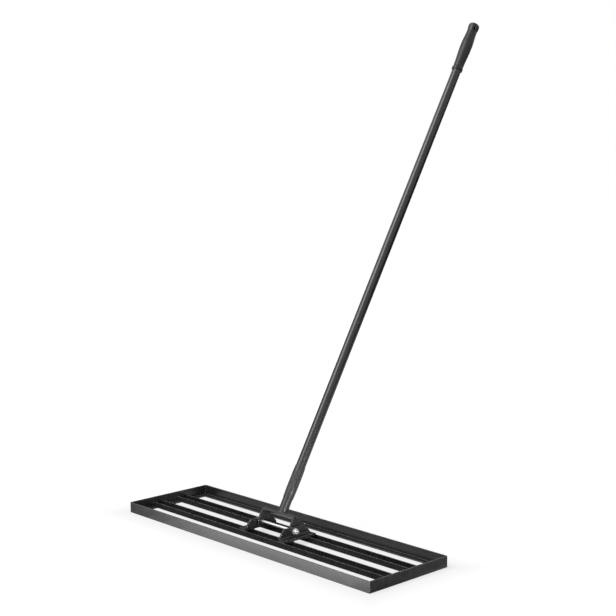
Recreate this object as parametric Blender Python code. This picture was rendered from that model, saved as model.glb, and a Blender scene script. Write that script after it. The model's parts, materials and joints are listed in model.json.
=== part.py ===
"""Lawn leveling rake: a flat steel grid that slides over the lawn, with a long handle that tilts.

Units are metres and degrees. The grid stands on z = 0 with its length along X.
The handle leans towards +Y. The origin is below the middle of the rake's bounding box.
"""
import math

import bmesh
import bpy
from mathutils import Matrix, Vector

# Gap left between pieces that touch
CLEARANCE = 0.0003

# Grid frame: four steel angles, upright leg outside, mitred at the corners
PLATE_LENGTH = 0.9144
PLATE_WIDTH = 0.265
ANGLE_HEIGHT = 0.0285
ANGLE_FLANGE = 0.0203
ANGLE_WALL = 0.003
ANGLE_EDGE = 0.0005

# Two pressed channels along the grid, open side up
CHANNEL_WIDTH = 0.0295
CHANNEL_HEIGHT = 0.0153
CHANNEL_WALL = 0.002
CHANNEL_BEND = 0.0012
CHANNEL_SPACING = 0.0836

# Ears: two pieces of angle across the channels, foot outward, the upright leg trimmed to a trapezoid
EAR_THICKNESS = 0.0045
EAR_BASE = 0.105
EAR_TOP = 0.070
EAR_HEIGHT = 0.027
EAR_FOOT = 0.027
EAR_SQUARE_END = 0.006
EAR_ROOT = 0.0025
EAR_CORNER = 0.0015
EAR_EDGE = 0.0004

# Pivot bolt, its washers and its lock nut
BOLT_DIAMETER = 0.008
BOLT_HOLE_CLEARANCE = 0.0003
BOLT_END = 0.0025
BOLT_CHAMFER = 0.001
PIVOT_ABOVE_CHANNELS = 0.0161
HEX_ACROSS_FLATS = 0.013
HEX_CORNER_ANGLE = 30.0
HEAD_HEIGHT = 0.0053
NUT_HEX_HEIGHT = 0.0058
NUT_TURN = 30.0
NUT_COLLAR_HEIGHT = 0.0030
NUT_COLLAR_DIAMETER = 0.0118
NUT_COLLAR_ROUND = 0.0015
WASHER_DIAMETER = 0.016
WASHER_THICKNESS = 0.0016

# Yoke: a flat bar bent to a U, which turns on the bolt between the ears
YOKE_BAR_WIDTH = 0.030
YOKE_BAR_THICKNESS = 0.005
YOKE_SPAN = 0.123
YOKE_HEIGHT = 0.034
YOKE_INNER_BEND = 0.003

# Handle: a socket tube on the yoke and three tube sections that screw together
HANDLE_LEAN = 30.5
TUBE_DIAMETER = 0.0254
TUBE_WALL = 0.0012
TUBE_LIP = 0.0003
SOCKET_LENGTH = 0.0847
SECTION_LENGTH = 0.4551
SECTION_NAMES = ("lower_tube", "middle_tube", "upper_tube")

# Parts inside the tubes
SPIGOT_LENGTH = 0.060
INSERT_LENGTH = 0.030
INSERT_CHAMFER = 0.001
STUD_DIAMETER = 0.016
STUD_LENGTH = 0.024

# Locking collar over the joint between the socket tube and the handle
COLLAR_LENGTH = 0.088
COLLAR_DIAMETER = 0.0286
COLLAR_LOWER_TAPER = 0.028
COLLAR_UPPER_TAPER = 0.020
COLLAR_MOUTH_WALL = 0.0006

# Grip: a moulded sleeve with a hanging slot through its end
GRIP_LENGTH = 0.155
GRIP_END_WALL = 0.0333
GRIP_RIM_LENGTH = 0.007
GRIP_RIM_DIAMETER = 0.031
GRIP_NECK_DIAMETER = 0.0284
GRIP_NECK_LENGTH = 0.004
GRIP_BARREL_DIAMETER = 0.0334
GRIP_BARREL_FROM_END = 0.074
GRIP_WAIST_DIAMETER = 0.0286
GRIP_WAIST_FROM_END = 0.027
GRIP_KNOB_DIAMETER = 0.0312
GRIP_KNOB_LENGTH = 0.004
GRIP_DOME_HEIGHT = 0.009
HANGING_SLOT_WIDTH = 0.005
HANGING_SLOT_LENGTH = 0.010
HANGING_SLOT_FROM_END = 0.021
HANGING_SLOT_TURN = -32.0

# Facets on round shapes
ROUND_SIDES = 48
BOLT_SIDES = 36
INNER_SIDES = 24
ARC_STEPS = 4
PROFILE_STEPS = 5
SHARP_ANGLE = 30.0

# Sizes that follow from the ones above
CHANNEL_OFFSET = CHANNEL_SPACING / 2
CHANNEL_END_X = PLATE_LENGTH / 2 - ANGLE_WALL - CLEARANCE
COPE_START_X = PLATE_LENGTH / 2 - ANGLE_FLANGE - CLEARANCE
COPE_HEIGHT = ANGLE_WALL + CLEARANCE
EAR_BOTTOM = CHANNEL_HEIGHT + CLEARANCE
EAR_INNER_X = YOKE_SPAN / 2 + CLEARANCE
EAR_OUTER_X = EAR_INNER_X + EAR_THICKNESS
PIVOT_HEIGHT = CHANNEL_HEIGHT + PIVOT_ABOVE_CHANNELS
BOLT_RADIUS = BOLT_DIAMETER / 2
BOLT_HOLE_RADIUS = (BOLT_RADIUS + BOLT_HOLE_CLEARANCE) / math.cos(math.pi / BOLT_SIDES)
WASHER_X = EAR_OUTER_X + CLEARANCE
SEAT_X = WASHER_X + WASHER_THICKNESS + CLEARANCE
NUT_HEIGHT = NUT_HEX_HEIGHT + NUT_COLLAR_HEIGHT
BOLT_END_X = SEAT_X + NUT_HEIGHT + BOLT_END
TUBE_RADIUS = TUBE_DIAMETER / 2
TUBE_BORE = TUBE_RADIUS - TUBE_WALL
INSERT_RADIUS = TUBE_BORE * math.cos(math.pi / ROUND_SIDES) - CLEARANCE
SOCKET_START = YOKE_HEIGHT + CLEARANCE
SOCKET_END = SOCKET_START + SOCKET_LENGTH
SECTION_STARTS = [SOCKET_END + CLEARANCE + i * (SECTION_LENGTH + CLEARANCE) for i in range(3)]
TUBE_END = SECTION_STARTS[-1] + SECTION_LENGTH
HANDLE_TOP = TUBE_END + CLEARANCE + GRIP_END_WALL
SLEEVE_BORE = (TUBE_RADIUS + CLEARANCE) / math.cos(math.pi / ROUND_SIDES)


def clear_scene():
    for obj in list(bpy.data.objects):
        bpy.data.objects.remove(obj, do_unlink=True)


def make_material(name, colour, roughness, metallic):
    mat = bpy.data.materials.new(name)
    mat.use_nodes = True
    shader = mat.node_tree.nodes["Principled BSDF"]
    shader.inputs["Base Color"].default_value = (*colour, 1.0)
    shader.inputs["Roughness"].default_value = roughness
    shader.inputs["Metallic"].default_value = metallic
    return mat


def make_empty(name, location, parent=None, rotation_x=0.0):
    empty = bpy.data.objects.new(name, None)
    empty.location = location
    empty.rotation_euler = (rotation_x, 0.0, 0.0)
    empty.parent = parent
    bpy.context.scene.collection.objects.link(empty)
    return empty


def add_mesh(name, bm, parent):
    bmesh.ops.recalc_face_normals(bm, faces=bm.faces)
    mesh = bpy.data.meshes.new(name)
    bm.to_mesh(mesh)
    bm.free()
    obj = bpy.data.objects.new(name, mesh)
    obj.parent = parent
    bpy.context.scene.collection.objects.link(obj)
    return obj


def add_piece(name, bm, mat, parent, smooth=False):
    """A piece of the rake, with its own copy of a material."""
    obj = add_mesh(name, bm, parent)
    own = mat.copy()
    own.name = name
    obj.data.materials.append(own)
    if smooth:
        obj.data.shade_smooth()
        obj.data.set_sharp_from_angle(angle=math.radians(SHARP_ANGLE))
    return obj


def add_tool(name, bm, parent):
    """A cutting shape that isn't part of the rake."""
    obj = add_mesh(name, bm, parent)
    obj.hide_render = True
    obj.display_type = "WIRE"
    return obj


def boolean(target, tool, operation):
    modifier = target.modifiers.new(tool.name, "BOOLEAN")
    modifier.operation = operation
    modifier.solver = "EXACT"
    modifier.object = tool


def bevel(target, width):
    modifier = target.modifiers.new("edges", "BEVEL")
    modifier.width = width
    modifier.segments = 1
    modifier.limit_method = "ANGLE"
    modifier.angle_limit = math.radians(SHARP_ANGLE)


def arc(centre, radius, start, end, steps=ARC_STEPS):
    """Points on an arc, angles in degrees."""
    angles = [math.radians(start + (end - start) * i / steps) for i in range(steps + 1)]
    return [(centre[0] + radius * math.cos(a), centre[1] + radius * math.sin(a)) for a in angles]


def bridge(first_ring, last_ring):
    """A closed mesh between two rings with the same number of points."""
    bm = bmesh.new()
    first = [bm.verts.new(point) for point in first_ring]
    last = [bm.verts.new(point) for point in last_ring]
    for i in range(len(first)):
        bm.faces.new((first[i - 1], first[i], last[i], last[i - 1]))
    bm.faces.new(first)
    bm.faces.new(list(reversed(last)))
    return bm


def prism(outline, axis, low, high):
    """An outline pulled along X or Y. Its two coordinates are the other axes in order."""
    rings = []
    for depth in (low, high):
        if axis == "X":
            rings.append([(depth, y, z) for y, z in outline])
        else:
            rings.append([(x, depth, z) for x, z in outline])
    return bridge(*rings)


def rectangle(left, right, bottom, top):
    return [(left, bottom), (right, bottom), (right, top), (left, top)]


def turned(profile, axis="Z", sides=ROUND_SIDES):
    """Turns a closed profile of (radius, station) points. A radius of 0 lies on the axis."""
    bm = bmesh.new()
    place = {
        "X": lambda r, s, a: (s, r * math.cos(a), r * math.sin(a)),
        "Z": lambda r, s, a: (r * math.cos(a), r * math.sin(a), s),
    }[axis]
    rows = []
    for radius, station in profile:
        if radius == 0:
            rows.append([bm.verts.new(place(0, station, 0))] * sides)
        else:
            angles = [2 * math.pi * i / sides for i in range(sides)]
            rows.append([bm.verts.new(place(radius, station, a)) for a in angles])
    for first, second in zip(rows, rows[1:] + rows[:1]):
        for i in range(sides):
            j = (i + 1) % sides
            corners = []
            for vert in (first[i], first[j], second[j], second[i]):
                if vert not in corners:
                    corners.append(vert)
            if len(corners) > 2:
                bm.faces.new(corners)
    return bm


def smooth_between(start, end, steps=PROFILE_STEPS):
    """Points from one (radius, station) to the next, level at both ends."""
    points = []
    for i in range(1, steps + 1):
        t = i / steps
        ease = (1 - math.cos(math.pi * t)) / 2
        points.append((start[0] + (end[0] - start[0]) * ease, start[1] + (end[1] - start[1]) * t))
    return points


def angle_bar(name, length, mat, parent, turn, distance):
    """One side of the frame: an L profile with both ends mitred at 45 degrees."""
    profile = [
        (0, 0), (ANGLE_FLANGE, 0), (ANGLE_FLANGE, ANGLE_WALL),
        (ANGLE_WALL, ANGLE_WALL), (ANGLE_WALL, ANGLE_HEIGHT), (0, ANGLE_HEIGHT),
    ]
    mitre_gap = CLEARANCE / math.sqrt(2)
    ends = []
    for side in (-1, 1):
        ends.append([(side * (length / 2 - depth - mitre_gap), depth, z) for depth, z in profile])
    obj = add_piece(name, bridge(*ends), mat, parent)
    obj.rotation_euler = (0, 0, math.radians(turn))
    obj.location = Matrix.Rotation(math.radians(turn), 3, "Z") @ Vector((0, -distance, 0))
    bevel(obj, ANGLE_EDGE)
    return obj


def make_frame(mat, parent):
    half_width = PLATE_WIDTH / 2
    half_length = PLATE_LENGTH / 2
    angle_bar("front_angle", PLATE_LENGTH, mat, parent, 0, half_width)
    angle_bar("right_end_angle", PLATE_WIDTH, mat, parent, 90, half_length)
    angle_bar("rear_angle", PLATE_LENGTH, mat, parent, 180, half_width)
    angle_bar("left_end_angle", PLATE_WIDTH, mat, parent, -90, half_length)


def channel_profile():
    half = CHANNEL_WIDTH / 2
    inner = half - CHANNEL_WALL
    outer_bend = CHANNEL_BEND + CHANNEL_WALL
    centre = (half - outer_bend, outer_bend)
    right_outer = arc(centre, outer_bend, -90, 0) + [(half, CHANNEL_HEIGHT)]
    right_inner = [(inner, CHANNEL_HEIGHT)] + arc(centre, CHANNEL_BEND, 0, -90)
    right = right_outer + right_inner
    return right + [(-y, z) for y, z in reversed(right)]


def make_channel(name, y, mat, parent):
    bm = prism(channel_profile(), "X", -CHANNEL_END_X, CHANNEL_END_X)
    obj = add_piece(name, bm, mat, parent, smooth=True)
    obj.location = (0, y, 0)
    for side, low in (("left", -PLATE_LENGTH / 2), ("right", COPE_START_X)):
        high = low + PLATE_LENGTH / 2 - COPE_START_X
        cutter = prism(rectangle(-CHANNEL_WIDTH, CHANNEL_WIDTH, -COPE_HEIGHT, COPE_HEIGHT), "X", low, high)
        tool = add_tool(f"{name}_{side}_cope", cutter, parent)
        tool.location = obj.location
        boolean(obj, tool, "DIFFERENCE")
    return obj


def rounded_outline(corners, radius):
    """Rounds each corner of a convex outline that runs anticlockwise."""
    points = []
    count = len(corners)
    for i, corner in enumerate(corners):
        here = Vector(corner)
        before = (Vector(corners[i - 1]) - here).normalized()
        after = (Vector(corners[(i + 1) % count]) - here).normalized()
        half = before.angle(after) / 2
        centre = here + (before + after).normalized() * radius / math.sin(half)
        start = here + before * radius / math.tan(half) - centre
        swing = math.pi - 2 * half
        for step in range(ARC_STEPS + 1):
            turned_by = Matrix.Rotation(swing * step / ARC_STEPS, 2)
            points.append(tuple(centre + turned_by @ start))
    return points


def ear_profile(side):
    """The ear's angle section, in X and Z. The side is 1 for the right ear and -1 for the left."""
    top = EAR_BOTTOM + EAR_HEIGHT
    root = EAR_THICKNESS + EAR_ROOT
    points = [
        (0, EAR_BOTTOM), (EAR_FOOT, EAR_BOTTOM), (EAR_FOOT, EAR_BOTTOM + EAR_THICKNESS),
        *arc((root, EAR_BOTTOM + root), EAR_ROOT, 270, 180), (EAR_THICKNESS, top), (0, top),
    ]
    return [(side * (EAR_INNER_X + x), z) for x, z in points]


def make_ear(name, side, mat, parent):
    obj = add_piece(name, prism(ear_profile(side), "Y", -EAR_BASE, EAR_BASE), mat, parent)
    below = EAR_BOTTOM - EAR_HEIGHT
    shoulder = EAR_BOTTOM + EAR_SQUARE_END
    top = EAR_BOTTOM + EAR_HEIGHT
    corners = [
        (-EAR_BASE / 2, below), (EAR_BASE / 2, below), (EAR_BASE / 2, shoulder),
        (EAR_TOP / 2, top), (-EAR_TOP / 2, top), (-EAR_BASE / 2, shoulder),
    ]
    reach = PLATE_LENGTH / 2
    outline = prism(rounded_outline(corners, EAR_CORNER), "X", -reach, reach)
    boolean(obj, add_tool(f"{name}_outline", outline, parent), "INTERSECT")
    hole = [(0, -reach), (BOLT_HOLE_RADIUS, -reach), (BOLT_HOLE_RADIUS, reach), (0, reach)]
    bore = add_tool(f"{name}_bore", turned(hole, "X", BOLT_SIDES), parent)
    bore.location = (0, 0, PIVOT_HEIGHT)
    boolean(obj, bore, "DIFFERENCE")
    bevel(obj, EAR_EDGE)
    return obj


def hex_piece(name, profile, mat, parent, turn=0.0):
    """A turned piece on the bolt's axis whose widest part is cut to a hexagon."""
    obj = add_piece(name, turned(profile, "X", BOLT_SIDES), mat, parent, smooth=True)
    corner = HEX_ACROSS_FLATS / 2 / math.cos(math.pi / 6)
    angles = [math.radians(HEX_CORNER_ANGLE + turn + 60 * i) for i in range(6)]
    outline = [(corner * math.cos(a), corner * math.sin(a)) for a in angles]
    reach = PLATE_LENGTH / 2
    tool = add_tool(f"{name}_flats", prism(outline, "X", -reach, reach), parent)
    boolean(obj, tool, "INTERSECT")
    return obj


def make_pivot(zinc, parent):
    corner = HEX_ACROSS_FLATS / 2 / math.cos(math.pi / 6)
    chamfer = corner - HEX_ACROSS_FLATS / 2
    rise = chamfer * math.tan(math.radians(HEX_CORNER_ANGLE))
    head_end = -SEAT_X - HEAD_HEIGHT
    hex_piece("pivot_bolt", [
        (0, head_end), (corner - chamfer, head_end), (corner, head_end + rise), (corner, -SEAT_X),
        (BOLT_RADIUS, -SEAT_X), (BOLT_RADIUS, BOLT_END_X - BOLT_CHAMFER),
        (BOLT_RADIUS - BOLT_CHAMFER, BOLT_END_X), (0, BOLT_END_X),
    ], zinc, parent)
    collar_radius = NUT_COLLAR_DIAMETER / 2
    hex_top = SEAT_X + NUT_HEX_HEIGHT
    nut_top = hex_top + NUT_COLLAR_HEIGHT
    rounded = arc((collar_radius - NUT_COLLAR_ROUND, nut_top - NUT_COLLAR_ROUND), NUT_COLLAR_ROUND, 0, 90)
    hex_piece("pivot_nut", [
        (BOLT_HOLE_RADIUS, SEAT_X), (corner - chamfer, SEAT_X), (corner, SEAT_X + rise),
        (corner, hex_top - rise), (corner - chamfer, hex_top), (collar_radius, hex_top),
        *rounded, (BOLT_HOLE_RADIUS, nut_top),
    ], zinc, parent, NUT_TURN)
    for name, low in (("bolt_head_washer", -WASHER_X - WASHER_THICKNESS), ("nut_washer", WASHER_X)):
        high = low + WASHER_THICKNESS
        washer_radius = WASHER_DIAMETER / 2
        ring = [(BOLT_HOLE_RADIUS, low), (washer_radius, low), (washer_radius, high), (BOLT_HOLE_RADIUS, high)]
        add_piece(name, turned(ring, "X"), zinc, parent, smooth=True)


def yoke_profile():
    """The bent bar seen from the front, in X and height above the pivot."""
    half = YOKE_SPAN / 2
    inner = half - YOKE_BAR_THICKNESS
    outer_bend = YOKE_INNER_BEND + YOKE_BAR_THICKNESS
    foot = -YOKE_BAR_WIDTH / 2
    centre = (half - outer_bend, YOKE_HEIGHT - outer_bend)
    right = [(inner, foot), (half, foot)] + arc(centre, outer_bend, 0, 90)
    left = [(-x, z) for x, z in reversed(right)]
    inside_left = [(-x, z) for x, z in arc(centre, YOKE_INNER_BEND, 0, 90)]
    inside_right = arc(centre, YOKE_INNER_BEND, 90, 0)
    return right + left + inside_left + inside_right


def make_yoke(mat, parent):
    half_bar = YOKE_BAR_WIDTH / 2
    bm = prism(yoke_profile(), "Y", -half_bar, half_bar)
    obj = add_piece("yoke", bm, mat, parent, smooth=True)
    reach = YOKE_SPAN
    rounded_end = arc((0, 0), half_bar, 180, 360, 4 * ARC_STEPS)
    outline = rounded_end + [(half_bar, 2 * YOKE_HEIGHT), (-half_bar, 2 * YOKE_HEIGHT)]
    ends = add_tool("yoke_round_ends", prism(outline, "X", -reach, reach), parent)
    boolean(obj, ends, "INTERSECT")
    hole = [(0, -reach), (BOLT_HOLE_RADIUS, -reach), (BOLT_HOLE_RADIUS, reach), (0, reach)]
    bore = add_tool("yoke_bore", turned(hole, "X", BOLT_SIDES), parent)
    boolean(obj, bore, "DIFFERENCE")
    return obj


def tube_profile(start, end):
    outer_low = [(TUBE_RADIUS - TUBE_LIP, start), (TUBE_RADIUS, start + TUBE_LIP)]
    outer_high = [(TUBE_RADIUS, end - TUBE_LIP), (TUBE_RADIUS - TUBE_LIP, end)]
    return [(TUBE_BORE, start), *outer_low, *outer_high, (TUBE_BORE, end)]


def plug_profile(start, end):
    inner = INSERT_RADIUS - INSERT_CHAMFER
    return [
        (0, start), (inner, start), (INSERT_RADIUS, start + INSERT_CHAMFER),
        (INSERT_RADIUS, end - INSERT_CHAMFER), (inner, end), (0, end),
    ]


def make_tubes(mat, inner_mat, parent):
    add_piece("socket_tube", turned(tube_profile(SOCKET_START, SOCKET_END)), mat, parent, smooth=True)
    for name, start in zip(SECTION_NAMES, SECTION_STARTS):
        tube = turned(tube_profile(start, start + SECTION_LENGTH))
        add_piece(name, tube, mat, parent, smooth=True)
    spigot_low = SOCKET_END - SPIGOT_LENGTH / 2
    spigot = turned(plug_profile(spigot_low, spigot_low + SPIGOT_LENGTH), sides=INNER_SIDES)
    add_piece("coupling_spigot", spigot, inner_mat, parent, smooth=True)


def make_section_joint(prefix, seam, mat, parent):
    """A threaded stud in the end of one tube, and the insert in the next that it screws into."""
    stud_radius = STUD_DIAMETER / 2
    stud = [
        (0, seam - INSERT_LENGTH), (INSERT_RADIUS - INSERT_CHAMFER, seam - INSERT_LENGTH),
        (INSERT_RADIUS, seam - INSERT_LENGTH + INSERT_CHAMFER), (INSERT_RADIUS, seam),
        (stud_radius, seam), (stud_radius, seam + STUD_LENGTH - INSERT_CHAMFER),
        (stud_radius - INSERT_CHAMFER, seam + STUD_LENGTH), (0, seam + STUD_LENGTH),
    ]
    add_piece(f"{prefix}_stud", turned(stud, sides=INNER_SIDES), mat, parent, smooth=True)
    low = seam + CLEARANCE
    high = low + INSERT_LENGTH
    thread_bore = (stud_radius + CLEARANCE) / math.cos(math.pi / INNER_SIDES)
    insert = [
        (thread_bore, low), (INSERT_RADIUS, low), (INSERT_RADIUS, high - INSERT_CHAMFER),
        (INSERT_RADIUS - INSERT_CHAMFER, high), (thread_bore, high),
    ]
    add_piece(f"{prefix}_insert", turned(insert, sides=INNER_SIDES), mat, parent, smooth=True)


def make_collar(mat, parent):
    middle = SOCKET_END + CLEARANCE / 2
    low = middle - COLLAR_LENGTH / 2
    high = middle + COLLAR_LENGTH / 2
    mouth = SLEEVE_BORE + COLLAR_MOUTH_WALL
    body = COLLAR_DIAMETER / 2
    widen = smooth_between((mouth, low), (body, low + COLLAR_LOWER_TAPER))
    shoulder = (body, high - COLLAR_UPPER_TAPER)
    narrow = smooth_between(shoulder, (mouth, high))
    profile = [(SLEEVE_BORE, low), (mouth, low), *widen, shoulder, *narrow, (SLEEVE_BORE, high)]
    add_piece("locking_collar", turned(profile), mat, parent, smooth=True)


def grip_outer_profile():
    """Outer outline of the grip from its lower rim to the middle of its domed end."""
    low = HANDLE_TOP - GRIP_LENGTH
    rim = (GRIP_RIM_DIAMETER / 2, low + GRIP_RIM_LENGTH)
    neck = (GRIP_NECK_DIAMETER / 2, rim[1] + GRIP_NECK_LENGTH)
    barrel = (GRIP_BARREL_DIAMETER / 2, HANDLE_TOP - GRIP_BARREL_FROM_END)
    waist = (GRIP_WAIST_DIAMETER / 2, HANDLE_TOP - GRIP_WAIST_FROM_END)
    knob = (GRIP_KNOB_DIAMETER / 2, HANDLE_TOP - GRIP_DOME_HEIGHT - GRIP_KNOB_LENGTH)
    points = [(rim[0], low), rim]
    for start, end in ((rim, neck), (neck, barrel), (barrel, waist), (waist, knob)):
        points += smooth_between(start, end)
    dome_base = HANDLE_TOP - GRIP_DOME_HEIGHT
    dome = arc((0, 0), 1.0, 0, 90, 2 * ARC_STEPS)[:-1]
    points += [(knob[0] * x, dome_base + GRIP_DOME_HEIGHT * z) for x, z in dome]
    return points + [(0, HANDLE_TOP)]


def make_grip(mat, parent):
    low = HANDLE_TOP - GRIP_LENGTH
    bore_end = TUBE_END + CLEARANCE
    profile = [(0, bore_end), (SLEEVE_BORE, bore_end), (SLEEVE_BORE, low), *grip_outer_profile()]
    obj = add_piece("grip", turned(profile), mat, parent, smooth=True)
    radius = HANGING_SLOT_WIDTH / 2
    rise = HANGING_SLOT_LENGTH / 2 - radius
    slot = arc((0, rise), radius, 0, 180, 2 * ARC_STEPS) + arc((0, -rise), radius, 180, 360, 2 * ARC_STEPS)
    reach = GRIP_BARREL_DIAMETER
    tool = add_tool("grip_hanging_slot", prism(slot, "X", -reach, reach), parent)
    tool.location = (0, 0, HANDLE_TOP - HANGING_SLOT_FROM_END)
    tool.rotation_euler = (0, 0, math.radians(HANGING_SLOT_TURN))
    boolean(obj, tool, "DIFFERENCE")
    return obj


def middle_of_depth():
    """Y of the middle of the rake's bounding box, measured from the middle of the grid."""
    lean = math.radians(HANDLE_LEAN)
    back = max(s * math.sin(lean) + r * math.cos(lean) for r, s in grip_outer_profile())
    return (back - PLATE_WIDTH / 2) / 2


def build():
    clear_scene()
    coated_steel = make_material("coated_steel", (0.035, 0.036, 0.038), 0.45, 0.0)
    zinc = make_material("zinc", (0.78, 0.78, 0.76), 0.25, 1.0)
    bare_steel = make_material("bare_steel", (0.5, 0.5, 0.5), 0.4, 1.0)
    black_plastic = make_material("black_plastic", (0.03, 0.03, 0.032), 0.6, 0.0)
    black_rubber = make_material("black_rubber", (0.028, 0.028, 0.03), 0.75, 0.0)

    plate = make_empty("plate_middle", (0, -middle_of_depth(), 0))
    pin = make_empty("pivot_axis", (0, 0, PIVOT_HEIGHT), plate)
    handle = make_empty("handle_axis", (0, 0, PIVOT_HEIGHT), plate, -math.radians(HANDLE_LEAN))

    make_frame(coated_steel, plate)
    make_channel("front_channel", -CHANNEL_OFFSET, coated_steel, plate)
    make_channel("rear_channel", CHANNEL_OFFSET, coated_steel, plate)
    make_ear("left_ear", -1, coated_steel, plate)
    make_ear("right_ear", 1, coated_steel, plate)
    make_pivot(zinc, pin)
    make_yoke(coated_steel, handle)
    make_tubes(coated_steel, bare_steel, handle)
    make_section_joint("lower_joint", SECTION_STARTS[0] + SECTION_LENGTH, bare_steel, handle)
    make_section_joint("upper_joint", SECTION_STARTS[1] + SECTION_LENGTH, bare_steel, handle)
    make_collar(black_plastic, handle)
    make_grip(black_rubber, handle)
    bpy.context.view_layer.update()


build()
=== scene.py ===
"""Looks of the lawn leveling rake: its finishes, welds, threads and grips, and a plain studio."""

import json
import math
from itertools import count

import bmesh
import bpy
from mathutils import Matrix, Vector


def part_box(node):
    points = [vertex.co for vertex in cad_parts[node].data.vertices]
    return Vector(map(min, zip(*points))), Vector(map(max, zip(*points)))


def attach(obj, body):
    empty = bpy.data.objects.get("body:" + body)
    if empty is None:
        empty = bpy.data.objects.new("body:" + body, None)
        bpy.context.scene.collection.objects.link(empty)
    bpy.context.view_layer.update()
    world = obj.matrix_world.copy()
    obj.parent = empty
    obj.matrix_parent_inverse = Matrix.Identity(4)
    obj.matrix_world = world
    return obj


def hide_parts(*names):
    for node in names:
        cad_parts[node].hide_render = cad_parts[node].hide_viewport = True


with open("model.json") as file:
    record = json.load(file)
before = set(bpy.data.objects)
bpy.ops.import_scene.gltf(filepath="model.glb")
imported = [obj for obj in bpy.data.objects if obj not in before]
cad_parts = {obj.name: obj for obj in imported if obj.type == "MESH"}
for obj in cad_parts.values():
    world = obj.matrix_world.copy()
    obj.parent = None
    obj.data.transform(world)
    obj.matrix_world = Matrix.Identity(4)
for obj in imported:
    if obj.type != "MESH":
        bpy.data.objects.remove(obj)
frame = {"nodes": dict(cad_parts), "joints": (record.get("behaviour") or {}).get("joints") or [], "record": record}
nodes = frame["nodes"]
joints = {joint["name"]: joint for joint in frame["joints"]}
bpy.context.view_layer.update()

MM = 0.001

# Camera, in metres and degrees, measured from the middle of the grid, on the floor
CAMERA_PLACE = Vector((2.3674, -2.1073, 0.9766))
CAMERA_YAW = 46.8408
CAMERA_PITCH = 6.9156
CAMERA_ROLL = -0.3371
CAMERA_LENS = 74.424
CAMERA_SENSOR = 36.0

# Axes taken from the frame
PIVOT = Vector(joints["handle_tilt"]["pos_m"])
HANDLE_AXIS = Vector(joints["collar_twist"]["axis"]).normalized()
HANDLE_LEAN = math.atan2(HANDLE_AXIS.y, HANDLE_AXIS.z)
HANDLE_FRAME = Matrix.Translation(PIVOT) @ Matrix.Rotation(-HANDLE_LEAN, 4, "X")


def span_on_handle(node):
    """Lowest and highest station of a node along the handle, measured from the pivot."""
    to_handle = HANDLE_FRAME.inverted()
    stations = [(to_handle @ vert.co).z for vert in nodes[node].data.vertices]
    return min(stations), max(stations)


# Places taken from the frame
front_low, front_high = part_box("front_angle")
rear_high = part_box("rear_angle")[1]
GRID_MIDDLE = Vector((0, (front_low.y + rear_high.y) / 2, 0))
HALF_LENGTH = front_high.x
HALF_WIDTH = (rear_high.y - front_low.y) / 2
bolt_low, bolt_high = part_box("pivot_bolt")
nut_low, nut_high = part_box("pivot_nut")
grip_low, grip_top = span_on_handle("grip")
collar_low, collar_high = span_on_handle("locking_collar")
socket_low = span_on_handle("socket_tube")[0]

# Frame and channels
ANGLE_WALL = 3.0 * MM
ANGLE_FLANGE = 20.3 * MM
CHANNEL_WALL = 2.0 * MM

# Pivot hardware. Crest and flank are shares of half a thread's pitch.
BOLT_RADIUS = 4.0 * MM
HEX_APOTHEM = 6.5 * MM
HEX_CHAMFER_RADIUS = 6.2 * MM
HEX_CHAMFER_SLOPE = math.tan(math.radians(30))
THREAD_PITCH = 1.25 * MM
THREAD_DEPTH = 0.77 * MM
THREAD_LENGTH = 28.0 * MM
THREAD_CREST = 0.125
THREAD_FLANK = 0.625
BOLT_END_CHAMFER = 0.9 * MM
BOLT_SIDES = 72

# Handle
TUBE_RADIUS = 12.7 * MM
SLEEVE_BORE = 13.05 * MM
GRIP_PATTERN_STARTS = 24

# Weld beads
BEAD_SIDES = 16
BEAD_STEP = 0.3 * MM

# Edges sharper than this many degrees stay sharp
SHARP_EDGE = 40
SHARP_HARDWARE_EDGE = 32
SHARP_WELD_EDGE = 60

# Base colours
POWDER_BLACKS = ((0.011, 0.0112, 0.0118), (0.018, 0.0184, 0.0194))
# Pale edge colour: partly wear of the coat, partly a painted highlight of light caught by the edges
WORN_AND_HIGHLIT_STEEL = (0.5, 0.5, 0.5)
WORN_WELD = (0.03, 0.03, 0.03)
BRIGHT_ZINC = ((0.84, 0.84, 0.83), (0.74, 0.745, 0.75))
DULL_ZINC = ((0.58, 0.58, 0.57), (0.48, 0.485, 0.49))
TURNED_STEEL = ((0.42, 0.42, 0.42), (0.56, 0.56, 0.55))
PLASTIC_BLACKS = ((0.022, 0.022, 0.023), (0.033, 0.033, 0.034))
RUBBER_BLACKS = ((0.008, 0.008, 0.0085), (0.013, 0.013, 0.014))

# Studio. Its places and distances are in metres, from the middle of the grid or from its outline.
WORLD_LEVEL = 0.35
FLOOR_RADIUS = 9.0
FLOOR_DROP = 0.2 * MM
FLOOR_PAINT = (0.82, 0.82, 0.82, 1)
FLOOR_FAINT_PAINT = (0.16, 0.16, 0.16, 1)
# Brightness of the floor: a span of distance, and the brightness at its two ends
FLOOR_FAR = ((0.2, 1.2), (0.86, 1.0))
# Beside the grid the camera sees a painted soft shadow of the rake
FLOOR_PAINTED_SHADOW_BESIDE = ((0.0, 0.18), (0.73, 1.0))
# Painted shade for gloss: the floor near the grid is dark in reflections, lifting behind the front wall between
# the grid's ends
FLOOR_PAINTED_SHADE_IN_GLOSS = ((0.08, 0.3), (0.0, 1.0))
FLOOR_PAINTED_SHADE_BEHIND_FRONT = ((0.02, 0.11), (0.0, 1.0))
FLOOR_PAST_ENDS = ((0.0, 0.02), (1.0, 0.0))
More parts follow.
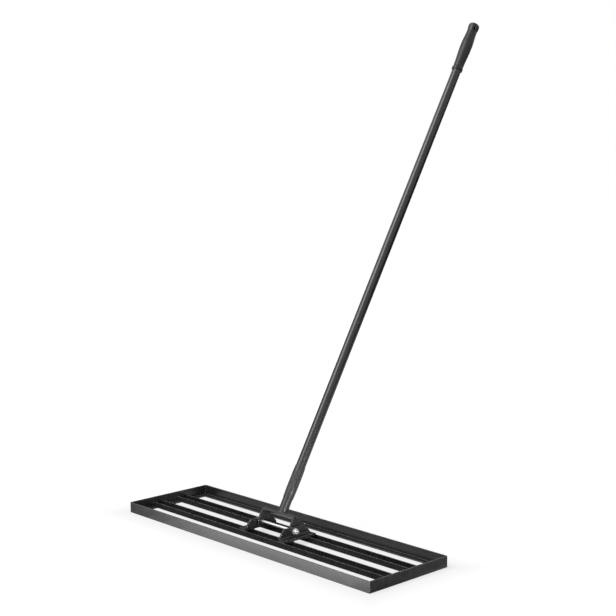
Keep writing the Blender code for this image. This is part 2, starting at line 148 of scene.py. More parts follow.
# Strips of light on the floor before the front wall: (X, radiance) along it, and for each row its
# nearest and furthest edge and its share of that radiance
STRIP_KEYS = [
    (-0.62, 0.2), (-0.47, 0.45), (-0.37, 1.05), (-0.27, 1.9), (-0.12, 2.9), (0.35, 3.1), (0.47, 2.0),
]
STRIP_ROWS = [(0.001, 0.034, 0.78), (0.034, 0.15, 1.12)]
STRIP_COUNT = 14
STRIP_HEIGHT = 0.4 * MM


def on_bolt(station, radius, angle):
    """A point round the pivot bolt's axis. The station is its X."""
    return Vector((station, PIVOT.y + radius * math.cos(angle), PIVOT.z + radius * math.sin(angle)))


def on_handle(station, radius, angle):
    """A point round the handle's axis. The station is measured from the pivot."""
    return HANDLE_FRAME @ Vector((radius * math.cos(angle), radius * math.sin(angle), station))


def at_corner(sx, sy, inset, z):
    """A point at a corner of the frame, inset from both its outer faces."""
    return GRID_MIDDLE + Vector((sx * (HALF_LENGTH - inset), sy * (HALF_WIDTH - inset), z))


def eased(t):
    """0 to 1, level at both ends."""
    return (1 - math.cos(math.pi * min(max(t, 0.0), 1.0))) / 2


def between(keys, place, ease=False):
    """Value at a place, from (place, value) keys in order. With ease it is level at each key."""
    for (start, first), (end, second) in zip(keys, keys[1:]):
        if place <= end:
            t = (place - start) / (end - start)
            return first + (second - first) * (eased(t) if ease else t)
    return keys[-1][1]


def join_rows(bm, rows, ring=False, capped=False):
    """Joins loops of vertices into a tube. It may run round into itself, or have a face at each end."""
    pairs = list(zip(rows, rows[1:]))
    if ring:
        pairs.append((rows[-1], rows[0]))
    for first, second in pairs:
        for i in range(len(first)):
            bm.faces.new((first[i - 1], first[i], second[i], second[i - 1]))
    if capped:
        bm.faces.new(rows[0])
        bm.faces.new(list(reversed(rows[-1])))


def turned_mesh(place, rings, sides, hollow=False):
    """Joins rings of (station, radius) round an axis. A radius may be a function of the angle."""
    bm = bmesh.new()
    rows = []
    for station, radius in rings:
        row = []
        for i in range(sides):
            angle = 2 * math.pi * i / sides
            reach = radius(angle) if callable(radius) else radius
            row.append(bm.verts.new(place(station, reach, angle)))
        rows.append(row)
    join_rows(bm, rows, ring=hollow)
    if not hollow:
        for end in (0, -1):
            row = rows[end]
            tip = bm.verts.new(place(rings[end][0], 0, 0))
            for i in range(sides):
                bm.faces.new((row[i - 1], row[i], tip))
    return bm


def rounded(station, radius, size, start, end, steps=6):
    """Rings of a rounded edge: an arc about a centre ring, 0 degrees outward and 90 along the axis."""
    rings = []
    for i in range(steps + 1):
        angle = math.radians(start + (end - start) * i / steps)
        rings.append((station + size * math.sin(angle), radius + size * math.cos(angle)))
    return rings


class NodeTree:
    """Short names for adding nodes to the tree of a material or the world."""

    def __init__(self, tree):
        self.tree = tree

    def add(self, kind, **settings):
        node = self.tree.nodes.new(kind)
        for key, value in settings.items():
            setattr(node, key, value)
        return node

    def link(self, source, target):
        self.tree.links.new(source, target)

    def remap(self, source, span, result):
        """Turns a span of the source's values into a range of results, and holds its ends."""
        node = self.add("ShaderNodeMapRange")
        for socket, value in zip(("From Min", "From Max", "To Min", "To Max"), (*span, *result)):
            node.inputs[socket].default_value = value
        self.link(source, node.inputs["Value"])
        return node.outputs["Result"]

    def maths(self, operation, first, second):
        node = self.add("ShaderNodeMath", operation=operation)
        for socket, value in zip(node.inputs, (first, second)):
            if isinstance(value, (int, float)):
                socket.default_value = value
            else:
                self.link(value, socket)
        return node.outputs["Value"]

    def mix(self, factor, first, second, data_type="RGBA"):
        """First where the factor is 0, second where it is 1. A tuple is a plain colour."""
        node = self.add("ShaderNodeMix", data_type=data_type)
        self.link(factor, node.inputs["Factor"])
        for socket, value in ((node.inputs["A"], first), (node.inputs["B"], second)):
            if isinstance(value, tuple):
                socket.default_value = (*value, 1.0)
            else:
                self.link(value, socket)
        return node.outputs["Result"]

    def background_rays(self):
        """1 for rays that show the background, and 1 for those of them seen in gloss or through glass."""
        path = self.add("ShaderNodeLightPath").outputs
        mirrored = self.maths("MAXIMUM", path["Is Glossy Ray"], path["Is Transmission Ray"])
        return self.maths("MAXIMUM", path["Is Camera Ray"], mirrored), mirrored


class Shader(NodeTree):
    """A material, its Principled shader, and the textures that the finishes share."""

    def __init__(self, name):
        self.mat = bpy.data.materials.new(name)
        self.mat.use_nodes = True
        super().__init__(self.mat.node_tree)
        self.principled = self.tree.nodes["Principled BSDF"]
        self.coords = self.add("ShaderNodeTexCoord").outputs["Object"]

    def set(self, socket, value):
        self.principled.inputs[socket].default_value = value

    def drive(self, socket, source):
        self.link(source, self.principled.inputs[socket])

    def noise(self, scale, detail=3.0, coords=None):
        node = self.add("ShaderNodeTexNoise")
        node.inputs["Scale"].default_value = scale
        node.inputs["Detail"].default_value = detail
        node.inputs["Roughness"].default_value = 0.55
        self.link(coords or self.coords, node.inputs["Vector"])
        return node.outputs["Fac"]

    def rounded_edges(self, radius):
        """Normal of a surface whose sharp edges are rounded, and a mask of those edges."""
        bevel = self.add("ShaderNodeBevel", samples=6)
        bevel.inputs["Radius"].default_value = radius
        flat = self.add("ShaderNodeNewGeometry").outputs["True Normal"]
        dot = self.add("ShaderNodeVectorMath", operation="DOT_PRODUCT")
        self.link(bevel.outputs["Normal"], dot.inputs[0])
        self.link(flat, dot.inputs[1])
        return bevel.outputs["Normal"], self.remap(dot.outputs["Value"], (0.995, 0.85), (0.0, 1.0))

    def bump(self, height, distance, strength, normal=None):
        node = self.add("ShaderNodeBump")
        node.inputs["Distance"].default_value = distance
        node.inputs["Strength"].default_value = strength
        self.link(height, node.inputs["Height"])
        if normal is not None:
            self.link(normal, node.inputs["Normal"])
        return node.outputs["Normal"]


def powder_coat(name, worn_and_highlit_colour):
    """Satin black powder coat: fine orange peel, faint mottling, thinner and lighter at the edges, the lighter
    colour partly wear and partly a painted highlight.
    """
    shader = Shader(name)
    normal, edges = shader.rounded_edges(radius=0.8 * MM)
    mottle = shader.noise(scale=38.0, detail=5.0)
    speck = shader.noise(scale=1400.0, detail=2.0)
    peel = shader.noise(scale=620.0, detail=2.0)
    patches = shader.remap(shader.noise(scale=160.0), (0.35, 0.7), (0.25, 1.0))
    colour = shader.mix(shader.remap(mottle, (0.35, 0.7), (0.0, 1.0)), *POWDER_BLACKS)
    # Edges in patches take the pale colour: partly rubbed coat, partly a painted edge highlight
    worn_and_highlit = shader.maths("MULTIPLY", edges, patches)
    shader.drive("Base Color", shader.mix(worn_and_highlit, colour, worn_and_highlit_colour))
    shader.set("Specular IOR Level", 0.47)
    rough = shader.remap(mottle, (0.3, 0.75), (0.27, 0.35))
    grain = shader.remap(speck, (0.3, 0.7), (-0.03, 0.03))
    shader.drive("Roughness", shader.maths("ADD", rough, grain))
    peeled = shader.bump(peel, distance=0.05 * MM, strength=0.5, normal=normal)
    shader.drive("Normal", shader.bump(speck, distance=0.02 * MM, strength=0.4, normal=peeled))
    return shader.mat


def zinc_plate(name, bright, dull, metallic, roughness):
    """Zinc plating with fine turning lines and a few dull patches."""
    shader = Shader(name)
    patches = shader.noise(scale=260.0, detail=4.0)
    shader.drive("Base Color", shader.mix(shader.remap(patches, (0.4, 0.7), (0.0, 1.0)), bright, dull))
    shader.set("Metallic", metallic)
    shader.drive("Roughness", shader.remap(patches, (0.3, 0.75), (roughness, roughness + 0.1)))
    lines = shader.add("ShaderNodeMapping")
    lines.inputs["Scale"].default_value = (5200.0, 60.0, 60.0)
    shader.link(shader.coords, lines.inputs["Vector"])
    turning = shader.noise(scale=1.0, detail=1.0, coords=lines.outputs["Vector"])
    shader.drive("Normal", shader.bump(turning, distance=0.006 * MM, strength=0.3))
    return shader.mat


def bare_steel(name):
    """Turned steel of the pieces inside the handle."""
    shader = Shader(name)
    grain = shader.noise(scale=420.0, detail=4.0)
    shader.drive("Base Color", shader.mix(grain, *TURNED_STEEL))
    shader.set("Metallic", 1.0)
    shader.drive("Roughness", shader.remap(grain, (0.3, 0.7), (0.3, 0.45)))
    shader.drive("Normal", shader.bump(grain, distance=0.02 * MM, strength=0.4))
    return shader.mat


def moulded_black(name, colour, sheen_colour, roughness, grain_scale, grain_depth):
    """Moulded black plastic or rubber with a fine spark-eroded grain."""
    shader = Shader(name)
    cloud = shader.noise(scale=55.0, detail=5.0)
    grain = shader.noise(scale=grain_scale)
    sheen = shader.remap(cloud, (0.35, 0.7), (0.0, 1.0))
    shader.drive("Base Color", shader.mix(sheen, colour, sheen_colour))
    shader.set("Specular IOR Level", 0.35)
    shader.drive("Roughness", shader.remap(grain, (0.3, 0.7), (roughness - 0.05, roughness + 0.06)))
    shader.drive("Normal", shader.bump(grain, distance=grain_depth, strength=0.6))
    return shader.mat


# By material slot. The weld and the dull zinc are variants of a slot's finish.
MATERIALS = {
    "coated_steel": powder_coat("coated_steel_finish", WORN_AND_HIGHLIT_STEEL),
    "coated_weld": powder_coat("coated_weld_finish", WORN_WELD),
    "zinc": zinc_plate("zinc_finish", *BRIGHT_ZINC, metallic=1.0, roughness=0.44),
    "dull_zinc": zinc_plate("dull_zinc_finish", *DULL_ZINC, metallic=0.75, roughness=0.48),
    "bare_steel": bare_steel("bare_steel_finish"),
    "black_plastic": moulded_black(
        "black_plastic_finish", *PLASTIC_BLACKS, roughness=0.36, grain_scale=1500.0, grain_depth=0.03 * MM,
    ),
    "black_rubber": moulded_black(
        "black_rubber_finish", *RUBBER_BLACKS, roughness=0.34, grain_scale=1800.0, grain_depth=0.05 * MM,
    ),
}


def add_object(name, data):
    obj = bpy.data.objects.new(name, data)
    bpy.context.scene.collection.objects.link(obj)
    return obj


def mesh_object(name, bm):
    mesh = bpy.data.meshes.new(name)
    bm.to_mesh(mesh)
    bm.free()
    return add_object(name, mesh)


def smooth(mesh, sharp):
    mesh.shade_smooth()
    mesh.set_sharp_from_angle(angle=math.radians(sharp))


def new_piece(name, bm, body, slot, sharp=SHARP_EDGE, replaced=(), finish=None):
    """A piece that rides on a body. It takes a slot's finish, or a variant of it."""
    bmesh.ops.recalc_face_normals(bm, faces=bm.faces)
    obj = mesh_object(name, bm)
    smooth(obj.data, sharp)
    obj.data.materials.append(MATERIALS[finish or slot])
    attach(obj, body)
    if replaced:
        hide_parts(*replaced)
    return obj


def finish_cad_nodes():
    for row in frame["record"]["subparts"]:
        materials = nodes[row["node"]].data.materials
        materials.clear()
        materials.append(MATERIALS[row["material_slot"]])


def hexagon(angle, turn=0.0):
    """Radius of the hexagon. Unturned, it has two flats facing along Y."""
    off_flat = (angle - turn + math.pi / 6) % (math.pi / 3) - math.pi / 6
    return HEX_APOTHEM / math.cos(off_flat)


def chamfer_rings(face, direction, turn=0.0):
    """Rings from a hexagon's face down its chamfer, where a cone cuts the corners."""
    steps = 9
    corner = HEX_APOTHEM / math.cos(math.pi / 6)
    depth = (corner - HEX_CHAMFER_RADIUS) * HEX_CHAMFER_SLOPE
    rings = []
    for i in range(steps + 1):
        cone = HEX_CHAMFER_RADIUS + (corner - HEX_CHAMFER_RADIUS) * i / steps
        station = face + direction * depth * i / steps
        rings.append((station, lambda angle, cone=cone: min(hexagon(angle, turn), cone)))
    return rings


def thread_ring(station, start, end):
    """One ring of the bolt's thread, which fades in at its start and has a chamfered end."""
    fade = eased((station - start) / (2 * THREAD_PITCH))
    chamfer = BOLT_RADIUS - BOLT_END_CHAMFER + (end - station)

    def radius(angle):
        phase = (station / THREAD_PITCH - angle / (2 * math.pi)) % 1.0
        from_crest = abs(2 * phase - 1)
        groove = min(max((from_crest - THREAD_CREST) / THREAD_FLANK, 0.0), 1.0)
        return min(BOLT_RADIUS - THREAD_DEPTH * groove * fade, chamfer)

    return station, radius


def make_bolt():
    """Hexagon bolt: dished and chamfered head, washer face, shank and a rolled thread at the nut's end."""
    dish = 4.9 * MM
    dish_depth = 0.3 * MM
    dish_edge = 0.4 * MM
    washer_face_radius = 6.1 * MM
    washer_face_height = 0.35 * MM
    rings_per_turn = 12
    seat = -nut_low.x
    rings = [(bolt_low.x + dish_depth, dish - dish_edge), (bolt_low.x, dish)]
    rings += chamfer_rings(bolt_low.x, 1)
    rings += [(seat - washer_face_height, hexagon), (seat - washer_face_height, washer_face_radius)]
    rings += [(seat, washer_face_radius), (seat, BOLT_RADIUS)]
    start = bolt_high.x - THREAD_LENGTH
    rings.append((start, BOLT_RADIUS))
    steps = int(THREAD_LENGTH / THREAD_PITCH * rings_per_turn)
    for i in range(1, steps + 1):
        rings.append(thread_ring(start + THREAD_LENGTH * i / steps, start, bolt_high.x))
    bm = turned_mesh(on_bolt, rings, BOLT_SIDES)
    new_piece("hex_bolt", bm, "frame", "zinc", SHARP_HARDWARE_EDGE, ["pivot_bolt"])


def make_lock_nut():
    """Lock nut: chamfered hexagon, rolled collar and the plastic ring that grips the thread."""
    turn = math.radians(30)
    bore = 4.2 * MM
    collar_radius = 5.9 * MM
    collar_height = 3.0 * MM
    collar_round = 1.5 * MM
    collar_foot = 0.25 * MM
    mouth = 4.95 * MM
    lip_depth = 0.12 * MM
    lip_step = 0.05 * MM
    lip_height = 0.1 * MM
    recess = 0.7 * MM
    ring_half = 0.4 * MM
    ring_sides = 12
    hex_top = nut_high.x - collar_height
    lip = nut_high.x - lip_depth
    floor = nut_high.x - recess
    rings = [(nut_low.x, bore), *chamfer_rings(nut_low.x, 1, turn)]
    rings += list(reversed(chamfer_rings(hex_top, -1, turn)))
    rings += rounded(hex_top + collar_foot, collar_radius + collar_foot, collar_foot, -90, -180, 3)
    rings += rounded(nut_high.x - collar_round, collar_radius - collar_round, collar_round, 0, 75)
    rings += [(lip, mouth + lip_step), (lip - lip_height, mouth), (floor, mouth), (floor, bore)]
    bm = turned_mesh(on_bolt, rings, BOLT_SIDES, hollow=True)
    new_piece("lock_nut", bm, "frame", "zinc", SHARP_HARDWARE_EDGE, ["pivot_nut"], "dull_zinc")
    last = 360 - 360 / ring_sides
    rings = rounded(floor + ring_half, (mouth + BOLT_RADIUS) / 2, ring_half, 0, last, ring_sides - 1)
    bm = turned_mesh(on_bolt, rings, BOLT_SIDES, hollow=True)
    new_piece("nut_lock_ring", bm, "frame", "black_plastic")


def make_washers():
    """Stamped washers: one edge rolled over, the other sharp."""
    bore = 4.35 * MM
    bore_chamfer = 0.3 * MM
    rolled_edge = 0.5 * MM
    sharp_edge = 0.1 * MM
    for node in ("bolt_head_washer", "nut_washer"):
        low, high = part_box(node)
        radius = (high.y - low.y) / 2
        outside = 1 if low.x > 0 else -1
        inner, outer = (low.x, high.x) if outside > 0 else (high.x, low.x)
        rings = [(inner, bore), (inner, radius - sharp_edge), (inner + outside * sharp_edge, radius)]
        for station, reach in rounded(0, radius - rolled_edge, rolled_edge, 0, 90):
            rings.append((outer - outside * (rolled_edge - station), reach))
        rings += [(outer, bore + bore_chamfer), (outer - outside * bore_chamfer, bore)]
        bm = turned_mesh(on_bolt, rings, 2 * BOLT_SIDES, hollow=True)
        new_piece(f"{node}_stamped", bm, "frame", "zinc", SHARP_HARDWARE_EDGE, [node], "dull_zinc")


def make_collar():
    """Locking collar: a moulded sleeve with tapered ends and shallow lengthwise ribs on its body."""
    body = 14.3 * MM
    mouth = SLEEVE_BORE + 0.6 * MM
    lip = 0.3 * MM
    lower_taper = 28.0 * MM
    upper_taper = 20.0 * MM
    rib_count = 30
    rib_depth = 0.45 * MM
    rib_fade = 5.0 * MM
    rib_on_taper = 4.0 * MM
    sides = rib_count * 12
    steps = 96
    keys = [
        (collar_low, mouth), (collar_low + lower_taper, body),
        (collar_high - upper_taper, body), (collar_high, mouth),
    ]
    rib_start = collar_low + lower_taper - rib_on_taper
    rib_end = collar_high - upper_taper + rib_on_taper

    def ring(station):
        base = between(keys, station, ease=True)
        inside = min(station - rib_start, rib_end - station)
        depth = rib_depth * eased(inside / rib_fade)

        def radius(angle):
            wave = (1 + math.cos(rib_count * angle)) / 2
            return base - depth * wave ** 3

        return station, radius

    rings = [(collar_low, SLEEVE_BORE), (collar_low, mouth - lip)]
    for i in range(steps + 1):
        rings.append(ring(collar_low + lip + (collar_high - collar_low - 2 * lip) * i / steps))
    rings += [(collar_high, mouth - lip), (collar_high, SLEEVE_BORE)]
    bm = turned_mesh(on_handle, rings, sides, hollow=True)
    new_piece("ribbed_collar", bm, "collar", "black_plastic", replaced=["locking_collar"])


def grip_pattern(station, angle, start, end):
    """Depth of the grip's pattern: crossed spiral grooves that leave small rounded diamonds."""
    lead = 92.0 * MM
    depth = 0.32 * MM
    fade_length = 6.0 * MM
    groove = 0.0
    for hand in (1, -1):
        phase = GRIP_PATTERN_STARTS * (angle / (2 * math.pi) + hand * station / lead)
        wave = (1 + math.cos(2 * math.pi * phase)) / 2
        groove = max(groove, wave ** 4)
    return depth * groove * eased(min(station - start, end - station) / fade_length)


def make_slot_cutter(station):
    """A slot with rounded ends and flared mouths, which goes through the grip at a station."""
    turn = math.radians(-32.0)
    half_width = 2.5 * MM
    half_straight = 2.5 * MM
    flare = 0.9 * MM
    flare_start = 14.9 * MM
    reach = 17.0 * MM
    steps = 6
    sides = 32
    along = [(-reach, flare)]
    for i in range(steps + 1):
        angle = math.pi / 2 * i / steps
        along.append((-flare_start + flare * math.sin(angle), flare * (1 - math.sin(angle))))
    along += [(-x, grow) for x, grow in reversed(along)]
    to_slot = HANDLE_FRAME @ Matrix.Translation((0, 0, station)) @ Matrix.Rotation(turn, 4, "Z")
    bm = bmesh.new()
    rows = []
    for x, grow in along:
        row = []
        for i in range(sides):
            angle = 2 * math.pi * (i + 0.5) / sides
            y = (half_width + grow) * math.cos(angle)
            z = (half_width + grow) * math.sin(angle)
            z += half_straight if z > 0 else -half_straight
            row.append(bm.verts.new(to_slot @ Vector((x, y, z))))
        rows.append(row)
    join_rows(bm, rows, capped=True)
    bmesh.ops.recalc_face_normals(bm, faces=bm.faces)
    return mesh_object("slot_cutter", bm)


def cut(obj, cutter):
    """Cuts a shape out of a piece for good, and removes the cutter."""
    modifier = obj.modifiers.new("cut", "BOOLEAN")
    modifier.operation = "DIFFERENCE"
    modifier.solver = "EXACT"
    modifier.object = cutter
    bpy.context.view_layer.update()
    evaluated = obj.evaluated_get(bpy.context.evaluated_depsgraph_get())
    mesh = bpy.data.meshes.new_from_object(evaluated)
    obj.modifiers.clear()
    obj.data = mesh
    bpy.data.objects.remove(cutter)
    smooth(mesh, SHARP_EDGE)


def make_grip():
    """Moulded grip: rim, patterned barrel, waist and domed knob, with a hanging slot."""
    mouth_round = 0.3 * MM
    rim = 15.5 * MM
    rim_height = 7.0 * MM
    rim_round = 1.2 * MM
    neck = 14.2 * MM
    neck_height = 11.0 * MM
    swelling = 16.7 * MM
    swelling_depth = 74.0 * MM
    waist = 14.3 * MM
    waist_depth = 27.0 * MM
    knob = 15.55 * MM
    knob_depth = 13.0 * MM
    dome = 9.0 * MM
    dome_steps = 24
    bore_depth = 33.3 * MM
    bore_end_radius = 0.5 * MM
    slot_depth = 21.0 * MM
    pattern_start = grip_low + 16.0 * MM
    pattern_end = grip_top - 36.0 * MM
    step = 0.55 * MM
    sides = GRIP_PATTERN_STARTS * 9
    keys = [
        (grip_low + rim_height, rim), (grip_low + neck_height, neck), (grip_top - swelling_depth, swelling),
        (grip_top - waist_depth, waist), (grip_top - knob_depth, knob), (grip_top - dome, knob),
    ]

    def ring(station):
        base = between(keys, station, ease=True)
        return station, lambda angle: base - grip_pattern(station, angle, pattern_start, pattern_end)

    rings = [(grip_top - bore_depth, bore_end_radius), (grip_top - bore_depth, SLEEVE_BORE)]
    rings += rounded(grip_low + mouth_round, SLEEVE_BORE + mouth_round, mouth_round, -180, -90, 3)
    rings += rounded(grip_low + rim_round, rim - rim_round, rim_round, -90, 0)
    rings += rounded(grip_low + rim_height - rim_round, rim - rim_round, rim_round, 0, 40, 4)
    start = rings[-1][0] + step
    steps = int((grip_top - dome - start) / step)
    rings += [ring(start + step * i) for i in range(steps)]
    for i in range(dome_steps):
        angle = math.pi / 2 * i / dome_steps
        rings.append((grip_top - dome + dome * math.sin(angle), knob * math.cos(angle)))
    bm = turned_mesh(on_handle, rings, sides)
    grip = new_piece("moulded_grip", bm, "handle", "black_rubber", replaced=["grip"])
    cut(grip, make_slot_cutter(grip_top - slot_depth))


def wobble(distance, seed):
    """A hand's unsteadiness along a weld, about -1 to 1."""
    x = distance / MM
    return 0.6 * math.sin(0.9 * x + 1.7 * seed) + 0.4 * math.sin(2.3 * x + 2.9 * seed)


def bead_radius(distance, length, angle, radius, seed, closed=False):
    """Weld bead: overlapping crescents, uneven in size, with round ends unless it is closed."""
    pitch = 1.5 * MM
    crown_lead = 0.9
    crescent_height = 0.1
    uneven_pitch = 0.13
    uneven_size = 0.06
    least_end = 0.05
    lag = crown_lead * radius * (1 - math.cos(angle))
    phase = ((distance - lag) / pitch + uneven_pitch * wobble(distance, seed)) % 1.0
    crescent = crescent_height * (phase - 0.5)
    from_end = min(distance, length - distance)
    cap = 1.0
    if not closed and from_end < radius:
        cap = math.sqrt(max(1 - (1 - from_end / radius) ** 2, 0.0))
    return radius * max(cap, least_end) * (1 + crescent + uneven_size * wobble(distance, seed + 5))


def add_bead(bm, start, end, outward, radius, seed):
    """A straight bead between two points. Its crown faces outward."""
    wander = 0.08
    along = (end - start).normalized()
    outward = Vector(outward).normalized()
    side = along.cross(outward)
    length = (end - start).length
    steps = int(length / BEAD_STEP)
    rows = []
    for i in range(steps + 1):
        distance = length * i / steps
        centre = start + along * distance + side * (wander * radius * wobble(distance, seed + 9))
        row = []
        for j in range(BEAD_SIDES):
            angle = 2 * math.pi * j / BEAD_SIDES
            reach = bead_radius(distance, length, angle, radius, seed)
            row.append(bm.verts.new(centre + (outward * math.cos(angle) + side * math.sin(angle)) * reach))
        rows.append(row)
    join_rows(bm, rows, capped=True)


def weld_piece(name, bm, body):
    new_piece(name, bm, body, "coated_steel", SHARP_WELD_EDGE, finish="coated_weld")


def make_frame_welds():
    """Welds at the frame's corners: inside the walls, over the flanges, and ground flush outside."""
    wall_bead = 2.1 * MM
    wall_top = front_high.z - 1.2 * MM
    flange_bead = 1.35 * MM
    flange_start = ANGLE_WALL + 1.5 * MM
    flange_z = ANGLE_WALL - 0.5 * MM
    outer_bead = 1.0 * MM
    outer_inset = 1.2 * MM
    outer_bottom = 0.6 * MM
    outer_top = front_high.z - 0.3 * MM
    bm = bmesh.new()
    corners = [(sx, sy) for sx in (-1, 1) for sy in (-1, 1)]
    for seed, (sx, sy) in enumerate(corners, 1):
        bottom = at_corner(sx, sy, ANGLE_WALL, ANGLE_WALL)
        top = at_corner(sx, sy, ANGLE_WALL, wall_top)
        add_bead(bm, bottom, top, (-sx, -sy, 0), wall_bead, seed)
        heel = at_corner(sx, sy, flange_start, flange_z)
        tip = at_corner(sx, sy, ANGLE_FLANGE, flange_z)
        add_bead(bm, heel, tip, (0, 0, 1), flange_bead, seed + 20)
        bottom = at_corner(sx, sy, outer_inset, outer_bottom)
        top = at_corner(sx, sy, outer_inset, outer_top)
        add_bead(bm, bottom, top, (sx, sy, 0), outer_bead, seed + 40)
    weld_piece("corner_welds", bm, "frame")


def make_channel_welds():
    """Welds where the channels end on the end angles."""
    side_bead = 1.5 * MM
    side_bottom = ANGLE_WALL + 0.5 * MM
    side_top_gap = 0.6 * MM
    floor_bead = 1.4 * MM
    floor_inset = 2 * CHANNEL_WALL
    floor_z = ANGLE_WALL + 0.4 * CHANNEL_WALL
    seeds = count(101)
    bm = bmesh.new()
    for node in ("front_channel", "rear_channel"):
        low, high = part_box(node)
        for sx in (-1, 1):
            wall_x = sx * (HALF_LENGTH - ANGLE_WALL)
            for y, sy in ((low.y, -1), (high.y, 1)):
                bottom = Vector((wall_x, y, side_bottom))
                top = Vector((wall_x, y, high.z - side_top_gap))
                add_bead(bm, bottom, top, (-sx, sy, 0), side_bead, next(seeds))
            near = Vector((wall_x, low.y + floor_inset, floor_z))
            far = Vector((wall_x, high.y - floor_inset, floor_z))
            add_bead(bm, near, far, (-sx, 0, 1), floor_bead, next(seeds))
    weld_piece("channel_welds", bm, "frame")


def make_ear_welds():
    """Welds that hold the ears' feet on the channels: along both ends, and where the edges cross."""
    end_bead = 1.7 * MM
    end_inset = 1.5 * MM
    end_gap = 0.8 * MM
    edge_bead = 1.5 * MM
    edge_half = 5.0 * MM
    edge_drop = 0.3 * MM
    seeds = count(201)
    bm = bmesh.new()
    front_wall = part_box("front_channel")[1].y - CHANNEL_WALL / 2
    rear_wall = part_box("rear_channel")[0].y + CHANNEL_WALL / 2
    for ear in ("left_ear", "right_ear"):
        low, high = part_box(ear)
        for y, sy in ((low.y, -1), (high.y, 1)):
            left = Vector((low.x + end_inset, y + sy * end_gap, low.z))
            right = Vector((high.x - end_inset, y + sy * end_gap, low.z))
            add_bead(bm, left, right, (0, sy, 1), end_bead, next(seeds))
        for y in (front_wall, rear_wall):
            for x, sx in ((low.x, -1), (high.x, 1)):
                start = Vector((x, y - edge_half, low.z - edge_drop))
                end = Vector((x, y + edge_half, low.z - edge_drop))
                add_bead(bm, start, end, (sx, 0, 0.6), edge_bead, next(seeds))
    weld_piece("ear_welds", bm, "frame")


def make_socket_weld():
    """The bead round the foot of the socket tube, on the yoke."""
    bead = 1.7 * MM
    seed = 7
    ring_radius = TUBE_RADIUS + 0.5 * MM
    length = 2 * math.pi * ring_radius
    steps = int(length / BEAD_STEP)
    bm = bmesh.new()
    rows = []
    for i in range(steps):
        turn = 2 * math.pi * i / steps
        row = []
        for j in range(BEAD_SIDES):
            angle = 2 * math.pi * j / BEAD_SIDES
            reach = bead_radius(length * i / steps, length, angle, bead, seed, closed=True)
            lean = angle + math.pi / 4
            station = socket_low + reach * math.sin(lean)
            row.append(bm.verts.new(on_handle(station, ring_radius + reach * math.cos(lean), turn)))
        rows.append(row)
    join_rows(bm, rows, ring=True)
    weld_piece("socket_weld", bm, "handle")


def make_camera():
    data = bpy.data.cameras.new("photo_camera")
    data.lens = CAMERA_LENS
    data.sensor_width = CAMERA_SENSOR
    camera = add_object("photo_camera", data)
    turn = Matrix.Rotation(math.radians(CAMERA_YAW), 4, "Z")
    tilt = Matrix.Rotation(math.radians(90 - CAMERA_PITCH), 4, "X")
    roll = Matrix.Rotation(math.radians(CAMERA_ROLL), 4, "Z")
    camera.matrix_world = Matrix.Translation(GRID_MIDDLE + CAMERA_PLACE) @ turn @ tilt @ roll
    bpy.context.scene.camera = camera


def area_light(name, place, target, width, height, radiance, spread=180):
    """A soft box of a given brightness, placed and aimed in metres from the middle of the grid."""
    data = bpy.data.lights.new(name, "AREA")
    data.shape = "RECTANGLE"
    data.size = width
    data.size_y = height
    data.energy = radiance * math.pi * width * height
    data.spread = math.radians(spread)
    light = add_object(name, data)
    light.location = GRID_MIDDLE + Vector(place)
    aim = Vector(target) - Vector(place)
    light.rotation_euler = aim.to_track_quat("-Z", "Y").to_euler()
    light.visible_camera = False


def make_floor_strips():
    """Stands in for the glow of the white floor before the front wall, which falls off to the left."""
    start, end = STRIP_KEYS[0][0], STRIP_KEYS[-1][0]
    width = (end - start) / STRIP_COUNT
    for row, (near, far, share) in enumerate(STRIP_ROWS):
        y = -HALF_WIDTH - (near + far) / 2
        for i in range(STRIP_COUNT):
            x = start + width * (i + 0.5)
            radiance = between(STRIP_KEYS, x) * share
            area_light(f"strip_{row}_{i}", (x, y, STRIP_HEIGHT), (x, y, 1), width, far - near, radiance)


def make_world():
    world = bpy.data.worlds.new("studio")
    world.use_nodes = True
    bpy.context.scene.world = world
    tree = NodeTree(world.node_tree)
    background = world.node_tree.nodes["Background"]
    background.inputs["Color"].default_value = (1, 1, 1, 1)
    shown = tree.background_rays()[0]
    tree.link(tree.remap(shown, (0, 1), (WORLD_LEVEL, 1)), background.inputs["Strength"])


def stage_object(name, bm, mat):
    obj = mesh_object(name, bm)
    obj.data.materials.append(mat)
    obj.location = GRID_MIDDLE
    return obj


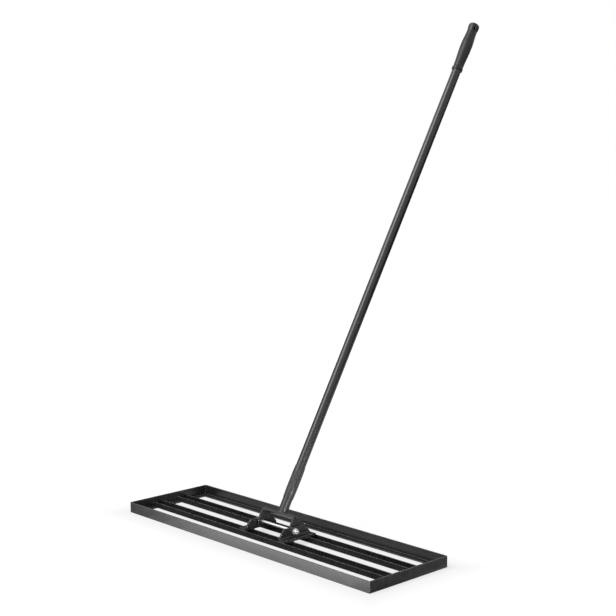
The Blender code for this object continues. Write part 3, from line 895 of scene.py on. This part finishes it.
def floor_paint():
    """Pale paint that the camera sees as white, with a painted soft shadow of the rake near the rake, and painted
    shade near it where gloss shows the floor.
    """
    shader = Shader("floor_paint")
    shader.tree.nodes.remove(shader.principled)
    place = shader.add("ShaderNodeSeparateXYZ")
    shader.link(shader.coords, place.inputs["Vector"])
    past_edge = []
    for axis, half in (("X", HALF_LENGTH), ("Y", HALF_WIDTH)):
        off = shader.maths("ABSOLUTE", place.outputs[axis], 0.0)
        past_edge.append(shader.maths("SUBTRACT", off, half))
    beside = [shader.maths("MAXIMUM", value, 0.0) for value in past_edge]
    squares = [shader.maths("POWER", value, 2.0) for value in beside]
    distance = shader.maths("POWER", shader.maths("ADD", *squares), 0.5)
    level = shader.remap(distance, *FLOOR_FAR)
    # Painted soft shadow: the camera sees the floor darker just beside the grid
    near = shader.remap(shader.maths("MAXIMUM", *past_edge), *FLOOR_PAINTED_SHADOW_BESIDE)
    seen = shader.maths("MINIMUM", level, near)
    # Painted shade that gloss shows: dark near the grid, lighter behind the front wall, only between the grid's
    # ends
    painted_shade_behind_front = shader.remap(place.outputs["Y"], *FLOOR_PAINTED_SHADE_BEHIND_FRONT)
    within_ends = shader.remap(beside[0], *FLOOR_PAST_ENDS)
    painted_shade_behind_front = shader.maths("MULTIPLY", painted_shade_behind_front, within_ends)
    shade = shader.maths("MAXIMUM", shader.remap(distance, *FLOOR_PAINTED_SHADE_IN_GLOSS), painted_shade_behind_front)
    in_gloss = shader.maths("MULTIPLY", level, shade)
    shown, mirrored = shader.background_rays()
    glow = shader.add("ShaderNodeEmission")
    shader.link(shader.mix(mirrored, seen, in_gloss, "FLOAT"), glow.inputs["Strength"])
    paint = shader.add("ShaderNodeBsdfDiffuse")
    paint.inputs["Color"].default_value = FLOOR_PAINT
    faint = shader.add("ShaderNodeBsdfDiffuse")
    faint.inputs["Color"].default_value = FLOOR_FAINT_PAINT
    lit = shader.add("ShaderNodeAddShader")
    shader.link(faint.outputs["BSDF"], lit.inputs[0])
    shader.link(glow.outputs["Emission"], lit.inputs[1])
    either = shader.add("ShaderNodeMixShader")
    shader.link(shown, either.inputs["Fac"])
    shader.link(paint.outputs["BSDF"], either.inputs[1])
    shader.link(lit.outputs["Shader"], either.inputs[2])
    shader.link(either.outputs["Shader"], shader.tree.nodes["Material Output"].inputs["Surface"])
    return shader.mat


def make_floor():
    sides = 64
    angles = [2 * math.pi * i / sides for i in range(sides)]
    rim = [(FLOOR_RADIUS * math.cos(a), FLOOR_RADIUS * math.sin(a), -FLOOR_DROP) for a in angles]
    bm = bmesh.new()
    bm.faces.new([bm.verts.new(point) for point in rim])
    stage_object("floor", bm, floor_paint())


def make_drape():
    """A black drape round the back of the set, which only gloss shows, for the dark sides of the steel."""
    radius = 2.6
    height = 1.25
    start, end = 20, 198
    steps = 48
    cloth = Shader("black_cloth")
    cloth.set("Base Color", (0.01, 0.01, 0.01, 1))
    cloth.set("Specular IOR Level", 0.0)
    bm = bmesh.new()
    edges = []
    for i in range(steps + 1):
        angle = math.radians(start + (end - start) * i / steps)
        x, y = radius * math.cos(angle), radius * math.sin(angle)
        edges.append((bm.verts.new((x, y, 0)), bm.verts.new((x, y, height))))
    for first, second in zip(edges, edges[1:]):
        bm.faces.new((first[0], second[0], second[1], first[1]))
    drape = stage_object("drape", bm, cloth.mat)
    drape.visible_camera = False
    drape.visible_diffuse = False
    drape.visible_transmission = False
    drape.visible_shadow = False


def make_lights():
    """A large softbox in front of the rake, a low one at its right end, and the floor strips."""
    key_place, key_target = (-0.7, -2.2, 3.6), (0, 0.35, 0.7)
    area_light("key_softbox", key_place, key_target, width=1.9, height=3.0, radiance=8.5)
    side_place, side_target = (1.4, -0.45, 0.13), (0, 0, 0.05)
    area_light("side_softbox", side_place, side_target, width=1.1, height=0.22, radiance=1.7, spread=26)
    make_floor_strips()


bpy.context.scene.view_settings.view_transform = "Standard"
make_camera()
make_world()
make_floor()
make_drape()
make_lights()
finish_cad_nodes()
make_bolt()
make_lock_nut()
make_washers()
make_collar()
make_grip()
make_frame_welds()
make_channel_welds()
make_ear_welds()
make_socket_weld()
